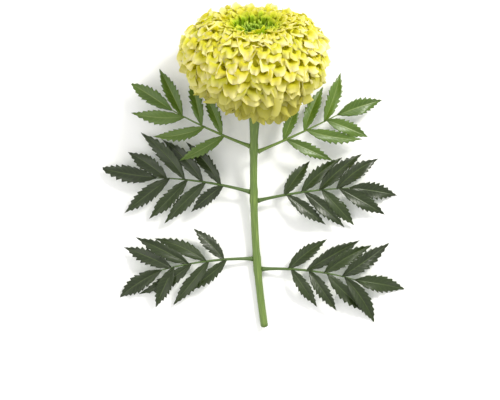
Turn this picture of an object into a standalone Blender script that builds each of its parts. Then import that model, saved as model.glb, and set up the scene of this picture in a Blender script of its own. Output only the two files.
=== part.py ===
"""African marigold flower, as picked: one double head on its cut, leafy stem, lying on a table.

Metres, +Z up. The origin is the spot under the head where the petals press on the table. +Y runs
towards the face of the flower, which looks up at a slant, and the stem trails off along -Y.
"""

import math
import random

import bmesh
import bpy
from mathutils import Matrix, Vector

MM = 0.001
GOLDEN_ANGLE = math.pi * (3 - math.sqrt(5))

# The head. Its petal tips lie on a low dome and a deep bowl that share one rim, both half
# ellipsoids about the head's own axis. Heights in the head are measured from that rim.
HEAD_RADIUS = 50 * MM
DOME_HEIGHT = 25 * MM
BOWL_DEPTH = 47 * MM
HOLLOW_DEPTH = 6 * MM  # of the dome, in its middle
HOLLOW_RADIUS = 17 * MM
ROOT_HEIGHT = -20 * MM  # where the lines of all petals meet, in the mouth of the cup
ROOT_SHARE = 0.64  # of the way from there to the outline, where petals leave the core
SKIRT_ROOT = Vector((14.5, -22)) * MM  # where the lowest petals leave it, beside the cup
HEAD_TILT = math.radians(28)  # how far the face looks up from level
PRESSED_FLAT = 2.6 * MM  # how far the head's weight has pushed up the lowest petals
HEAD_TURN = math.radians(216)  # about its own axis, so that a petal lies flat under the origin
GAP = 0.3 * MM  # between touching pieces

# Ray petals, from the edge of the green centre to the last row round the cup.
FIRST_PETAL = math.radians(20.5)  # angles from the head's axis
LAST_PETAL = math.radians(141)
INNER_SPACING = 7.5 * MM
OUTER_SPACING = 13.3 * MM
PETAL_THICKNESS = 0.8 * MM

# The green centre: young florets on a disc that sits in a hollow of the yellow head.
CENTRE_RADIUS = 14 * MM
CENTRE_FLOOR = 8 * MM
CENTRE_TOP = 12.5 * MM
FLORET_COUNT = 56
FLORET_LENGTH = 8.5 * MM

# The cup of joined bracts that holds the petals' roots.
CUP_RIM_HEIGHT = -22 * MM
CUP_LENGTH = 22 * MM
CUP_RADIUS = 10.6 * MM
CUP_WALL = 1.0 * MM
CUP_RIBS = 8

# The stem, from the cup to the cut end.
STEM_RADIUS = 2.7 * MM
STEM_NECK_RADIUS = 5.0 * MM  # the hollow swelling under the cup
JOINT_SWELL = 0.5 * MM  # of the stem where a leaf grows
STEM_END = Vector((7, -196, 2.75)) * MM
STEM_SIDES = 3  # bevel resolution

# Leaves: one blade with toothed leaflets in pairs on a rib.
LEAF_THICKNESS = 0.7 * MM
LEAF_FOOT_RADIUS = 1.3 * MM
LEAF_RIB_RADIUS = 0.7 * MM
TABLE_CLEARANCE = 0.6 * MM  # of a leaf's middle surface
TABLE_TOUCH = 1.2 * MM  # how softly a leaf that would dip under the table levels out
TOOTH_ROWS = 6  # two to a tooth

PETAL_YELLOW = (0.80, 0.74, 0.06, 1.0)
CENTRE_GREEN = (0.30, 0.45, 0.05, 1.0)
CUP_GREEN = (0.22, 0.34, 0.06, 1.0)
STEM_GREEN = (0.13, 0.24, 0.05, 1.0)
LEAF_GREEN = (0.05, 0.13, 0.03, 1.0)


def material(name, colour, roughness):
    made = bpy.data.materials.new(name)
    made.use_nodes = True
    shader = made.node_tree.nodes["Principled BSDF"]
    shader.inputs["Base Color"].default_value = colour
    shader.inputs["Roughness"].default_value = roughness
    shader.inputs["Metallic"].default_value = 0.0
    return made


def collection(name):
    made = bpy.data.collections.new(name)
    bpy.context.scene.collection.children.link(made)
    return made


def mesh_object(name, bm, home):
    mesh = bpy.data.meshes.new(name)
    bm.to_mesh(mesh)
    bm.free()
    obj = bpy.data.objects.new(name, mesh)
    home.objects.link(obj)
    return obj


def bake(obj):
    """Applies every modifier of obj, and makes a curve a mesh with its caps welded on."""
    graph = bpy.context.evaluated_depsgraph_get()
    mesh = bpy.data.meshes.new_from_object(obj.evaluated_get(graph))
    bm = bmesh.new()
    bm.from_mesh(mesh)
    bmesh.ops.remove_doubles(bm, verts=bm.verts[:], dist=0.001 * MM)
    bm.to_mesh(mesh)
    bm.free()
    if obj.type == "MESH":
        obj.modifiers.clear()
        obj.data = mesh
        return obj
    made = bpy.data.objects.new(obj.name, mesh)
    made.matrix_world = obj.matrix_world
    obj.users_collection[0].objects.link(made)
    name = obj.name
    bpy.data.objects.remove(obj)
    made.name = name
    return made


def keep_skin(obj):
    """Drops the pockets that overlapping pieces have closed in, and leaves the one outer skin."""
    bm = bmesh.new()
    bm.from_mesh(obj.data)
    waiting, skins = set(bm.verts), []
    while waiting:
        front, skin = [waiting.pop()], []
        while front:
            vert = front.pop()
            skin.append(vert)
            beside = {edge.other_vert(vert) for edge in vert.link_edges} & waiting
            waiting -= beside
            front.extend(beside)
        skins.append(skin)
    skins.sort(key=len)
    inner = [vert for skin in skins[:-1] for vert in skin]
    bmesh.ops.delete(bm, geom=inner, context="VERTS")
    bm.to_mesh(obj.data)
    bm.free()


def fuse(body, repeats):
    """Joins every object of the collection repeats to body, and removes them."""
    union = body.modifiers.new("fuse", "BOOLEAN")
    union.operand_type = "COLLECTION"
    union.collection = repeats
    union.operation = "UNION"
    union.solver = "MANIFOLD"
    bake(body)
    keep_skin(body)
    for obj in list(repeats.objects):
        bpy.data.objects.remove(obj)
    bpy.data.collections.remove(repeats)
    return body


def finish(obj, surface, home, parent=None):
    """Gives a piece its material and its place in the tree, with sharp edges kept sharp."""
    obj.data.materials.clear()
    obj.data.materials.append(surface)
    obj.data.shade_smooth()
    obj.data.set_sharp_from_angle(angle=math.radians(40))
    for old in list(obj.users_collection):
        old.objects.unlink(obj)
    home.objects.link(obj)
    obj.parent = parent


def turned(name, profile, steps, home):
    """A turned shape from (radius, height) points, which run down its outer side."""
    bm = bmesh.new()
    points = [bm.verts.new((radius, 0, height)) for radius, height in profile]
    for pair in zip(points, points[1:]):
        bm.edges.new(pair)
    obj = mesh_object(name, bm, home)
    screw = obj.modifiers.new("turn", "SCREW")
    screw.steps = steps
    screw.render_steps = steps
    screw.use_merge_vertices = True
    screw.merge_threshold = 0.01 * MM
    return bake(obj)


def blade(name, across, along, place, thickness, home):
    """A thin closed blade: a grid whose point at u along it and v across it goes to place(u, v)."""
    bm = bmesh.new()
    bmesh.ops.create_grid(bm, x_segments=across, y_segments=along, size=1)
    for vert in bm.verts:
        vert.co = place((vert.co.y + 1) / 2, vert.co.x)
    bmesh.ops.remove_doubles(bm, verts=bm.verts[:], dist=0.02 * MM)
    bmesh.ops.triangulate(bm, faces=bm.faces[:])
    obj = mesh_object(name, bm, home)
    shell = obj.modifiers.new("thickness", "SOLIDIFY")
    shell.thickness = thickness
    shell.offset = 0
    return obj


def mix(low, high, share):
    share = min(1, max(0, share))
    return low + (high - low) * share


# --- The head's place, its outline and the placing of its petals ---


def head_place():
    """Where the middle of the head's rim is, with the lowest petals pressed on the table."""
    tilt = HEAD_TILT
    reach = math.hypot(HEAD_RADIUS * math.cos(tilt), BOWL_DEPTH * math.sin(tilt))
    ahead = (HEAD_RADIUS ** 2 - BOWL_DEPTH ** 2) * math.sin(tilt) * math.cos(tilt) / reach
    return Vector((0, -ahead, reach - PRESSED_FLAT))


HEAD_FRAME = Matrix.Translation(head_place()) @ Matrix.Rotation(HEAD_TILT - math.pi / 2, 4, "X")


def pressed(point):
    """Moves a point of a petal up, where it would lie under the table."""
    spot = HEAD_FRAME @ point
    spot.z = max(spot.z, PETAL_THICKNESS * 0.4)
    return HEAD_FRAME.inverted() @ spot


def outline(angle):
    """(radius, height) of the petals' bends at an angle from the head's axis."""
    radius = HEAD_RADIUS * math.sin(angle)
    if angle > math.pi / 2:
        return radius, BOWL_DEPTH * math.cos(angle)
    hollow = HOLLOW_DEPTH * math.exp(-((radius / HOLLOW_RADIUS) ** 2))
    return radius, DOME_HEIGHT * math.cos(angle) - hollow


def spacing(angle):
    """How far petals stand apart: close round the centre, wide on the bowl."""
    return mix(INNER_SPACING, OUTER_SPACING, (angle - FIRST_PETAL) / math.radians(80))


def petal_angles():
    """Angles from the axis, one for each petal, so that each has its own patch of the outline."""
    step = math.radians(0.1)
    angle, filled, found = FIRST_PETAL, 0.0, []
    while angle < LAST_PETAL:
        (r0, z0), (r1, z1) = outline(angle), outline(angle + step)
        filled += math.pi * (r0 + r1) * math.hypot(r1 - r0, z1 - z0) / spacing(angle) ** 2
        if filled > len(found) + 0.5:
            found.append(angle)
        angle += step
    return found


def petal_root(angle, knee):
    """Where a petal leaves the core: beside the centre, on its way from the cup, or by its rim."""
    root = Vector((0, ROOT_HEIGHT)).lerp(knee, ROOT_SHARE)
    root.x = max(root.x, CENTRE_RADIUS + 2.6 * MM)
    return root.lerp(SKIRT_ROOT, min(1, max(0, (angle - 1.75) / 0.5)))


def petal_line(angle, width, bend, steps=12):
    """The middle line of a petal as ((radius, height), direction) stations from root to tip.

    It runs out from the core, and curls over where it meets the head's outline. The share of
    its length where that is comes second.
    """
    knee = Vector(outline(angle))
    out = knee - petal_root(angle, knee)
    first = math.atan2(out.x, out.y)
    straight = out.length
    length = straight + 0.62 * width
    knee_share = straight / length
    line, point, knee_point = [], Vector((0, 0)), None
    for i in range(steps + 1):
        share = i / steps
        turn = min(1, max(0, (share - knee_share + 0.22) / 0.42))
        direction = first + bend * turn * turn * (3 - 2 * turn)
        if i:
            point = point + Vector((math.sin(direction), math.cos(direction))) * length / steps
        if knee_point is None and share >= knee_share:
            knee_point = point.copy()
        line.append((point.copy(), direction))
    shift = knee - knee_point
    return [(point + shift, direction) for point, direction in line], knee_share


def along_line(line, share):
    """The (point, direction) at a share of a line's length."""
    place = min(1, max(0, share)) * (len(line) - 1)
    low = min(int(place), len(line) - 2)
    part = place - low
    (p0, d0), (p1, d1) = line[low], line[low + 1]
    return p0.lerp(p1, part), d0 + (d1 - d0) * part


def petal(index, angle, azimuth, draw, home):
    width = spacing(angle) * 1.12
    level = (angle - FIRST_PETAL) / (LAST_PETAL - FIRST_PETAL)
    bend = math.radians(mix(60, 108, level * 1.7) + draw.uniform(-10, 10))
    line, knee_share = petal_line(angle, width, bend)
    twist = draw.uniform(-0.22, 0.22)
    wave = draw.uniform(0, 2 * math.pi)
    cup = 0.11 * width
    spin = Matrix.Rotation(azimuth + draw.uniform(-0.05, 0.05), 4, "Z")

    def place(u, v):
        share = mix(0, knee_share, 2 * u) if u < 0.5 else mix(knee_share, 1, 2 * u - 1)
        share -= 0.07 * v * v * u * u
        point, direction = along_line(line, share)
        half = width / 2 * mix(0.42, 1, 2 * u) * mix(1, 0.72, 2 * u - 1)
        lift = -cup * v * v * share + 0.04 * width * math.sin(wave + 2.4 * v) * share
        lift += twist * v * half * share
        normal = Vector((-math.cos(direction), math.sin(direction)))
        flat = point + normal * lift
        return pressed(spin @ Vector((flat.x, v * half, flat.y)))

    return blade(f"petal_{index}", 2, 2, place, PETAL_THICKNESS, home)


def bloom_core(home):
    """The packed lower part of the petals: a plug in the cup, and a dome with a hollow on top."""
    inner = CUP_RADIUS - CUP_WALL - GAP
    base = CUP_RIM_HEIGHT - CUP_LENGTH + CUP_WALL + GAP
    profile = [
        (0, CENTRE_FLOOR), (CENTRE_RADIUS, CENTRE_FLOOR), (CENTRE_RADIUS, 13 * MM),
        (19 * MM, 14 * MM), (28 * MM, 11 * MM), (36 * MM, 3 * MM), (39.5 * MM, -6 * MM),
        (37 * MM, -16 * MM), (30 * MM, -24 * MM), (12.4 * MM, -24 * MM), (11.7 * MM, -21.4 * MM),
        (inner * 0.9, -21.4 * MM),
        (inner, base + 13 * MM), (inner * 0.86, base + 6 * MM), (4.2 * MM, base), (0, base),
    ]
    return turned("bloom", profile, 20, home)


def make_bloom(parts, cutters, head):
    draw = random.Random(7)
    petals = collection("petals")
    for index, angle in enumerate(petal_angles()):
        petal(index, angle, HEAD_TURN + index * GOLDEN_ANGLE, draw, petals)
    bloom = fuse(bloom_core(parts), petals)
    finish(bloom, material("ray_petal", PETAL_YELLOW, 0.6), parts, head)
    bm = bmesh.new()
    bmesh.ops.create_cube(bm, size=1)
    side = 4 * HEAD_RADIUS
    bmesh.ops.transform(bm, matrix=Matrix.Diagonal((side, side, side, 1)), verts=bm.verts[:])
    table = mesh_object("table_cut", bm, cutters)
    table.location.z = -side / 2
    table.hide_render = True
    table.display_type = "WIRE"
    flatten = bloom.modifiers.new("press_flat", "BOOLEAN")
    flatten.object = table
    flatten.operation = "DIFFERENCE"
    flatten.solver = "MANIFOLD"
    return bloom


def make_centre(parts, head):
    """A shallow dish of young florets, the outer ones longest, which lean outwards."""
    radius = CENTRE_RADIUS - GAP
    floor = CENTRE_FLOOR + GAP
    dip = CENTRE_TOP - 2.5 * MM
    profile = [
        (0, dip), (radius * 0.5, dip + 0.4 * MM), (radius, CENTRE_TOP), (radius, floor), (0, floor)
    ]
    disc = turned("centre_florets", profile, 14, parts)
    florets = collection("florets")
    draw = random.Random(3)
    for i in range(FLORET_COUNT):
        share = math.sqrt((i + 0.5) / FLORET_COUNT)
        reach = share * radius * 0.84
        azimuth = i * GOLDEN_ANGLE
        length = FLORET_LENGTH * mix(0.75, 1.1, share) * draw.uniform(0.85, 1.1)
        bm = bmesh.new()
        bmesh.ops.create_cone(
            bm, cap_ends=True, segments=3, depth=length, radius1=1.0 * MM, radius2=0.3 * MM
        )
        foot = Vector((reach, 0, mix(dip, CENTRE_TOP, share) - 1.2 * MM))
        lean = Matrix.Rotation(-0.16 * share + 0.05, 4, "Y")
        move = Matrix.Rotation(azimuth, 4, "Z") @ Matrix.Translation(foot) @ lean
        move = move @ Matrix.Translation((0, 0, length / 2))
        bmesh.ops.transform(bm, matrix=move, verts=bm.verts[:])
        mesh_object(f"floret_{i}", bm, florets)
    fuse(disc, florets)
    finish(disc, material("young_floret", CENTRE_GREEN, 0.6), parts, head)


def make_cup(parts, head):
    """A ribbed bowl with a toothed rim, as the bracts of a marigold join into one cup."""
    rim, base = CUP_RIM_HEIGHT, CUP_RIM_HEIGHT - CUP_LENGTH
    profile = [
        (CUP_RADIUS * 0.97, rim), (CUP_RADIUS, rim - 8 * MM), (CUP_RADIUS * 0.9, rim - 15 * MM),
        (STEM_NECK_RADIUS, base), (0, base),
    ]
    cup = turned("involucre_cup", profile, CUP_RIBS * 4, parts)
    bm = bmesh.new()
    bm.from_mesh(cup.data)
    for vert in bm.verts:
        azimuth = math.atan2(vert.co.y, vert.co.x)
        height = (vert.co.z - base) / CUP_LENGTH
        rib = 0.45 * MM * math.cos(CUP_RIBS * azimuth) * math.sin(math.pi * height)
        spread = math.hypot(vert.co.x, vert.co.y)
        if spread > MM:
            vert.co.xy *= 1 + max(0, rib) / spread
        if height > 0.99:
            vert.co.z -= 1.6 * MM * (0.5 - 0.5 * math.cos(CUP_RIBS * azimuth))
    bm.to_mesh(cup.data)
    bm.free()
    wall = cup.modifiers.new("wall", "SOLIDIFY")
    wall.thickness = CUP_WALL
    wall.offset = -1
    finish(cup, material("cup_green", CUP_GREEN, 0.5), parts, head)


# --- The stem and the leaves, placed on the table ---


HEAD_AXIS = Vector((0, math.cos(HEAD_TILT), math.sin(HEAD_TILT)))
STEM_TOP = head_place() + HEAD_AXIS * (CUP_RIM_HEIGHT - CUP_LENGTH - GAP)


def stem_point(share):
    """A point of the stem's middle line, one cubic Bezier from the cup to the cut end."""
    corners = (STEM_TOP, STEM_TOP - HEAD_AXIS * 28 * MM, Vector((-4, -122, 2.5)) * MM, STEM_END)
    rest = 1 - share
    weights = (rest ** 3, 3 * rest ** 2 * share, 3 * rest * share ** 2, share ** 3)
    return sum((corner * weight for corner, weight in zip(corners, weights)), Vector())


def stem_radius(share, nodes):
    """The stem narrows from its swollen neck, and thickens a little where leaves grow."""
    swell = (STEM_NECK_RADIUS - STEM_RADIUS) * max(0, 1 - share / 0.3) ** 1.6
    knots = sum(JOINT_SWELL * math.exp(-((share - at) / 0.018) ** 2) for at in nodes)
    return STEM_RADIUS + swell + knots


def tube(name, points, radii, sides, home):
    """A round rod with closed ends along the points."""
    curve = bpy.data.curves.new(name, "CURVE")
    curve.dimensions = "3D"
    curve.bevel_depth = 1
    curve.bevel_resolution = sides
    curve.use_fill_caps = True
    spline = curve.splines.new("POLY")
    spline.points.add(len(points) - 1)
    for target, point, radius in zip(spline.points, points, radii):
        target.co = (*point, 1)
        target.radius = radius
    rod = bpy.data.objects.new(name, curve)
    home.objects.link(rod)
    return rod


def make_stem(parts, nodes):
    shares = [i / 20 for i in range(21)]
    points = [stem_point(share) for share in shares]
    radii = [stem_radius(share, nodes) for share in shares]
    stem = bake(tube("stem", points, radii, STEM_SIDES, parts))
    finish(stem, material("stem_green", STEM_GREEN, 0.55), parts)


def leaf_spine(start, heading, turn, slopes, roll, length, steps=20):
    """Frames (point, along, sideways, up) of a leaf that arches out from start.

    heading is the direction on the table, from +Y towards +X, and it changes by turn.
    slopes are the climb at the foot, in the middle and at the tip.
    """
    frames, point = [], start.copy()
    for i in range(steps + 1):
        share = i / steps
        climb = mix(slopes[0], slopes[1], share * 2) if share < 0.5 else mix(
            slopes[1], slopes[2], share * 2 - 1)
        way = heading + turn * share
        along = Vector((
            math.sin(way) * math.cos(climb), math.cos(way) * math.cos(climb), math.sin(climb)))
        level = Vector((math.cos(way), -math.sin(way), 0))
        side = Matrix.Rotation(roll * share, 3, along) @ level
        if i:
            point = point + along * length / steps
        frames.append((point.copy(), along, side, side.cross(along)))
    return frames


def on_leaf(frames, length, flat):
    """Where the point flat = (sideways, along, up) of the level leaf goes on the arched one."""
    place = min(0.9999, max(0, flat.y / length)) * (len(frames) - 1)
    low = int(place)
    part = place - low
    (p0, _, s0, n0), (p1, _, s1, n1) = frames[low], frames[low + 1]
    spot = p0.lerp(p1, part) + s0.lerp(s1, part) * flat.x + n0.lerp(n1, part) * flat.z
    over = (spot.z - TABLE_CLEARANCE) / TABLE_TOUCH
    spot.z = TABLE_CLEARANCE + TABLE_TOUCH * (over if over > 20 else math.log1p(math.exp(over)))
    return spot


def leaflet(name, foot, turn, length, width, to_leaf, home):
    """A toothed leaflet folded a little along its rib, from foot on the leaf's rib."""
    def place(u, v):
        is_tooth = round(u * TOOTH_ROWS) % 2
        body = math.sin(math.pi * (0.02 + 0.98 * u ** 0.8)) ** 0.7 if u < 1 else 0
        half = width / 2 * body * (1.12 if is_tooth else 0.72)
        ahead = u * length + abs(v) * half * (0.5 if is_tooth else 0)
        flat = Vector((v * half, ahead, abs(v) * half * 0.25 - 0.09 * length * u * u))
        return to_leaf(Matrix.Rotation(turn, 3, "Z") @ flat + Vector((0, foot, 0)))

    return blade(name, 2, TOOTH_ROWS, place, LEAF_THICKNESS, home)


def make_leaf(name, at, side, heading, turn, slopes, roll, length, pairs, parts, surface):
    """A leaf on the left (side -1) or right (side 1) of the stem, at a share of its length."""
    centre = stem_point(at)
    down = stem_point(at + 0.01) - centre
    beside = Vector((-down.y, down.x, 0)).normalized() * side
    level = math.radians(heading) * side
    reach = stem_radius(at, [at]) + GAP + LEAF_FOOT_RADIUS * math.cos(level)
    frames = leaf_spine(
        centre + beside * reach, level, math.radians(turn) * side,
        [math.radians(slope) for slope in slopes], math.radians(roll) * side, length)
    rib_length = length * 0.66

    def to_leaf(flat):
        return on_leaf(frames, length, flat)

    leaflets = collection(name + "_leaflets")
    tip_width = length * 0.118
    leaflet("tip", rib_length - 2 * MM, 0, length * 0.36, tip_width, to_leaf, leaflets)
    for pair in range(pairs):
        share = (pair + 0.5) / pairs
        foot = rib_length * mix(0.2, 0.94, share)
        reach = length * (0.21 + 0.17 * math.sin(math.pi * mix(0.18, 0.72, share)))
        for hand in (-1, 1):
            leaflet(
                f"pair_{pair}_{hand}", foot + hand * 1.0 * MM, -hand * math.radians(52 - 12 * share),
                reach, tip_width * mix(0.72, 0.9, share), to_leaf, leaflets)
    stations = [i / 7 for i in range(8)]
    points = [to_leaf(Vector((0, s * rib_length * 1.05, 0))) for s in stations]
    radii = [mix(LEAF_FOOT_RADIUS, LEAF_RIB_RADIUS, s) for s in stations]
    points = [Vector((p.x, p.y, max(p.z, r + 0.15 * MM))) for p, r in zip(points, radii)]
    rib = bake(tube(name, points, radii, 0, parts))
    leaf = fuse(rib, leaflets)
    finish(leaf, surface, parts)


# name, share of the stem, side, heading, turn, climbs, roll, length, leaflet pairs
LEAVES = (
    ("leaf_upper_left", 0.27, -1, 70, -14, (4, -4, -6), 2, 96 * MM, 3),
    ("leaf_upper_right", 0.30, 1, 68, -8, (6, -3, -6), 2, 98 * MM, 3),
    ("leaf_middle_left", 0.50, -1, 74, 22, (8, -3, -8), 3, 106 * MM, 4),
    ("leaf_middle_right", 0.54, 1, 76, 18, (8, -3, -8), 3, 104 * MM, 4),
    ("leaf_lower_left", 0.77, -1, 88, 26, (14, 0, -14), 3, 104 * MM, 4),
    ("leaf_lower_right", 0.81, 1, 86, 30, (14, 0, -14), 3, 106 * MM, 4),
)


def main():
    for old in list(bpy.data.objects):
        bpy.data.objects.remove(old)
    parts = collection("african_marigold_flower")
    cutters = collection("cutters")
    head = bpy.data.objects.new("head", None)
    parts.objects.link(head)
    head.matrix_world = HEAD_FRAME
    make_bloom(parts, cutters, head)
    make_centre(parts, head)
    make_cup(parts, head)
    make_stem(parts, [leaf[1] for leaf in LEAVES])
    surface = material("leaf_green", LEAF_GREEN, 0.5)
    for name, *sizes in LEAVES:
        make_leaf(name, *sizes, parts, surface)


main()
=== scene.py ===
# African marigold flower: petals, green centre, cup, stem and leaves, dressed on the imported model.
# Metres, +Z up, in the model's frame: the flower lies on a table, on the spot under its head that
# is the origin, with its face towards +Y and its stem along -Y.

import math
import random

import bmesh
import bpy
from mathutils import Matrix, Vector


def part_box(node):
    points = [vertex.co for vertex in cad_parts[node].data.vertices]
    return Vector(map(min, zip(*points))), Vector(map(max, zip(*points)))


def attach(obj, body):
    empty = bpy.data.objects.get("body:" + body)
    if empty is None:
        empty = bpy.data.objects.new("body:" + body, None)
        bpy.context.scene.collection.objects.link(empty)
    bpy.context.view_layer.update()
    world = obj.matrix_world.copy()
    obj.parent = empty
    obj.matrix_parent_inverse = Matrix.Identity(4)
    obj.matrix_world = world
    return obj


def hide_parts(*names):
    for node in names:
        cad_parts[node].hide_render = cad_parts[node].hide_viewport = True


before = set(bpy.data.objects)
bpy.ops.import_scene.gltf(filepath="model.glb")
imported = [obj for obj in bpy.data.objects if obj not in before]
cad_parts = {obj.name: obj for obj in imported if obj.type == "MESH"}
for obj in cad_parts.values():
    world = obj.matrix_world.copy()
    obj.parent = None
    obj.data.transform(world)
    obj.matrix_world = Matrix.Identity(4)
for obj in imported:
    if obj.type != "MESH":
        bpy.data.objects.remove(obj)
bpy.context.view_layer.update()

# ------------------------------------------------------------------------------------------------
# Ray petals. A double marigold packs a few hundred of them round its centre in one long spiral.
# Each is a thin strap of living tissue that widens to a ruffled flap, curled over like a scale.
# They are made as one piece for each zone, from the narrow young ones to the broad old skirt.

MM = 0.001
GOLDEN_ANGLE = math.pi * (3 - math.sqrt(5))
bloom_low, bloom_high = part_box("bloom")
HEAD_RADIUS = (bloom_high[0] - bloom_low[0]) / 2 - 1.8 * MM  # to the petals' bends
DOME_HEIGHT = 0.54 * HEAD_RADIUS
BOWL_DEPTH = 0.94 * HEAD_RADIUS
HOLLOW_DEPTH = 9 * MM
HOLLOW_RADIUS = 22 * MM
HEAD_TILT = math.radians(28)
PRESSED_FLAT = 2.6 * MM
HEAD_TURN = math.radians(216)

ROOT_HEIGHT = -20 * MM
ROOT_SHARE = 0.66
SKIRT_ROOT = Vector((14.5, -22)) * MM
SKIRT_ROOT_START, SKIRT_ROOT_SPREAD = 1.75, 0.5  # radians from the head's axis
CENTRE_RADIUS = 14 * MM

FIRST_PETAL = math.radians(16.5)  # angles from the head's axis
LAST_PETAL = math.radians(143)
SPACINGS = ((16.5, 2.9), (24, 3.6), (36, 5.2), (55, 6.6), (95, 7.4), (143, 8.6))  # degrees, mm
GROWTH = math.radians(45)  # over which the petals grow to broad flaps
OLD_START, OLD_SPREAD = 88, 35  # degrees over which they turn to the soft skirt, painted darker and duller as shade
TUCK_START = math.radians(103)
TUCK_SPREAD = math.radians(38)
SKIRT_TUCK = 0.27  # how much narrower the skirt is on both sides of its lowest petal
LOWEST_PETAL = math.radians(-78)

PETAL_WALL = 0.3 * MM
PETAL_SOFTNESS = 0.5 * MM  # how gently one flattens on the table
PETAL_WIDTH = 1.5  # of the spacing
SKIRT_WIDENING = 1.25
INNER_REACH, OUTER_REACH = 0.9, 0.8  # of the flap past the outline, as a share of the spacing
SKIRT_REACH, LOWEST_REACH = 1.1, 0.5  # times as long in the skirt, and so much more at its lowest
STRAY_OUT, STRAY_ROUND = 0.17, 0.19  # of the spacing
PROUD_MEAN, PROUD_SPREAD, PROUD_MOST = -0.8, 1.0, 0.8  # mm past the outline
BEND_START = 0.45  # before the outline, as a share of the reach
UPRIGHT_BEND, INNER_BEND, OUTER_BEND, BEND_SPREAD = 26, 82, 97, 11  # degrees
LIP_START = 0.5  # of the reach, where the lip turns up again
LIP_FLARE = 20  # degrees
TWIST_SPREAD, SWAY_SPREAD = 0.4, 0.15
INNER_ROLL, GROWN_ROLL, SKIRT_ROLL, ROLL_SPREAD = 1.5, 2.7, 1.3, 0.4  # radians across a throat
INNER_LIP_ROLL, OUTER_LIP_ROLL, LIP_ROLL_SPREAD = 0.5, -0.7, 0.7  # radians across a lip
INNER_WAVES, OUTER_WAVES = 0.05, 0.16  # height of the ruffles, as a share of the width
UPRIGHT_SHARE = 0.5  # of the innermost petals
ROLLED_SHARE = 0.12  # of all petals, rolled to a tube
STRAP_WIDTH, THROAT_WIDTH = 0.34, 0.74  # of the flap's width
YOUNG_RING = 8 * MM  # of lime petals round the centre
ACROSS, ALONG = 8, 6  # faces of one petal's cage; the first row is its strap


def linear(hex_colour):
    """An sRGB hex colour as linear RGBA."""
    parts = [int(hex_colour[i:i + 2], 16) / 255 for i in (1, 3, 5)]
    return [c / 12.92 if c <= 0.04045 else ((c + 0.055) / 1.055) ** 2.4 for c in parts] + [1]


def mix(low, high, share):
    """Goes from low to high as share goes from 0 to 1, and stays there beyond."""
    share = min(1, max(0, share))
    return low + (high - low) * share


def smooth(share):
    """Eases from 0 to 1 as share does, without a corner at either end."""
    share = min(1, max(0, share))
    return share * share * (3 - 2 * share)


def head_frame():
    """Where the middle of the head's rim is, and how the head's axis leans."""
    reach = math.hypot(HEAD_RADIUS * math.cos(HEAD_TILT), BOWL_DEPTH * math.sin(HEAD_TILT))
    ahead = (HEAD_RADIUS ** 2 - BOWL_DEPTH ** 2) * math.sin(HEAD_TILT) * math.cos(HEAD_TILT)
    place = Vector((0, -ahead / reach, reach - PRESSED_FLAT))
    return Matrix.Translation(place) @ Matrix.Rotation(HEAD_TILT - math.pi / 2, 4, "X")


HEAD = head_frame()


def above_table(spot, clearance, softness):
    """Lifts a point that would dip under the table, and bends its neighbours with it."""
    over = (spot.z - clearance) / softness
    spot.z = clearance + softness * (over if over > 20 else math.log1p(math.exp(over)))
    return spot


def outline(angle):
    """(radius, height) of the petals' bends at an angle from the head's axis."""
    radius = HEAD_RADIUS * math.sin(angle)
    if angle > math.pi / 2:
        return radius, BOWL_DEPTH * math.cos(angle)
    hollow = HOLLOW_DEPTH * math.exp(-((radius / HOLLOW_RADIUS) ** 2))
    return radius, DOME_HEIGHT * math.cos(angle) - hollow


def spacing(angle):
    """How far apart petals stand at an angle from the axis."""
    turned_by = math.degrees(angle)
    for (low_angle, low_gap), (high_angle, high_gap) in zip(SPACINGS, SPACINGS[1:]):
        if turned_by < high_angle:
            break
    return mix(low_gap, high_gap, (turned_by - low_angle) / (high_angle - low_angle)) * MM


def petal_angles():
    """Angles from the axis, one for each petal, so that each has its own patch of the outline."""
    step = math.radians(0.1)
    angle, filled, found = FIRST_PETAL, 0.0, []
    while angle < LAST_PETAL:
        (r0, z0), (r1, z1) = outline(angle), outline(angle + step)
        filled += math.pi * (r0 + r1) * math.hypot(r1 - r0, z1 - z0) / spacing(angle) ** 2
        if filled > len(found) + 0.5:
            found.append(angle)
        angle += step
    return found


def petal_line(angle, reach, bend, flare, proud, tuck, steps=24):
    """The middle line of a petal as ((radius, height), direction) stations from root to tip.

    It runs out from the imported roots, curls over where it meets the head's outline, and its lip
    flares up again. The second value is the share of it that is straight strap.
    """
    knee = Vector(outline(angle))
    knee.x *= 1 - tuck
    root = Vector((0, ROOT_HEIGHT)).lerp(knee, ROOT_SHARE)
    root.x = max(root.x, CENTRE_RADIUS + 0.8 * MM)
    root = root.lerp(SKIRT_ROOT, smooth((angle - SKIRT_ROOT_START) / SKIRT_ROOT_SPREAD))
    out = knee - root
    knee += out.normalized() * proud
    straight = (knee - root).length
    first = math.atan2(out.x, out.y)
    length = straight + reach
    line, point, knee_point = [], Vector((0, 0)), None
    for i in range(steps + 1):
        run = i / steps * length
        past = (run - straight) / reach
        direction = first + bend * smooth(past + BEND_START)
        direction -= flare * smooth((past - LIP_START) / (1 - LIP_START))
        if i:
            point = point + Vector((math.sin(direction), math.cos(direction))) * length / steps
        if knee_point is None and past >= 0:
            knee_point = point.copy()
        line.append((point.copy(), direction))
    shift = knee - knee_point
    stations = [(point + shift, direction) for point, direction in line]
    return stations, max(0.1, (straight - BEND_START * reach) / length)


def along_line(line, share):
    """The (point, direction) at a share of a petal's middle line."""
    place = min(1, max(0, share)) * (len(line) - 1)
    low = min(int(place), len(line) - 2)
    part = place - low
    (p0, d0), (p1, d1) = line[low], line[low + 1]
    return p0.lerp(p1, part), d0 + (d1 - d0) * part


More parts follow.
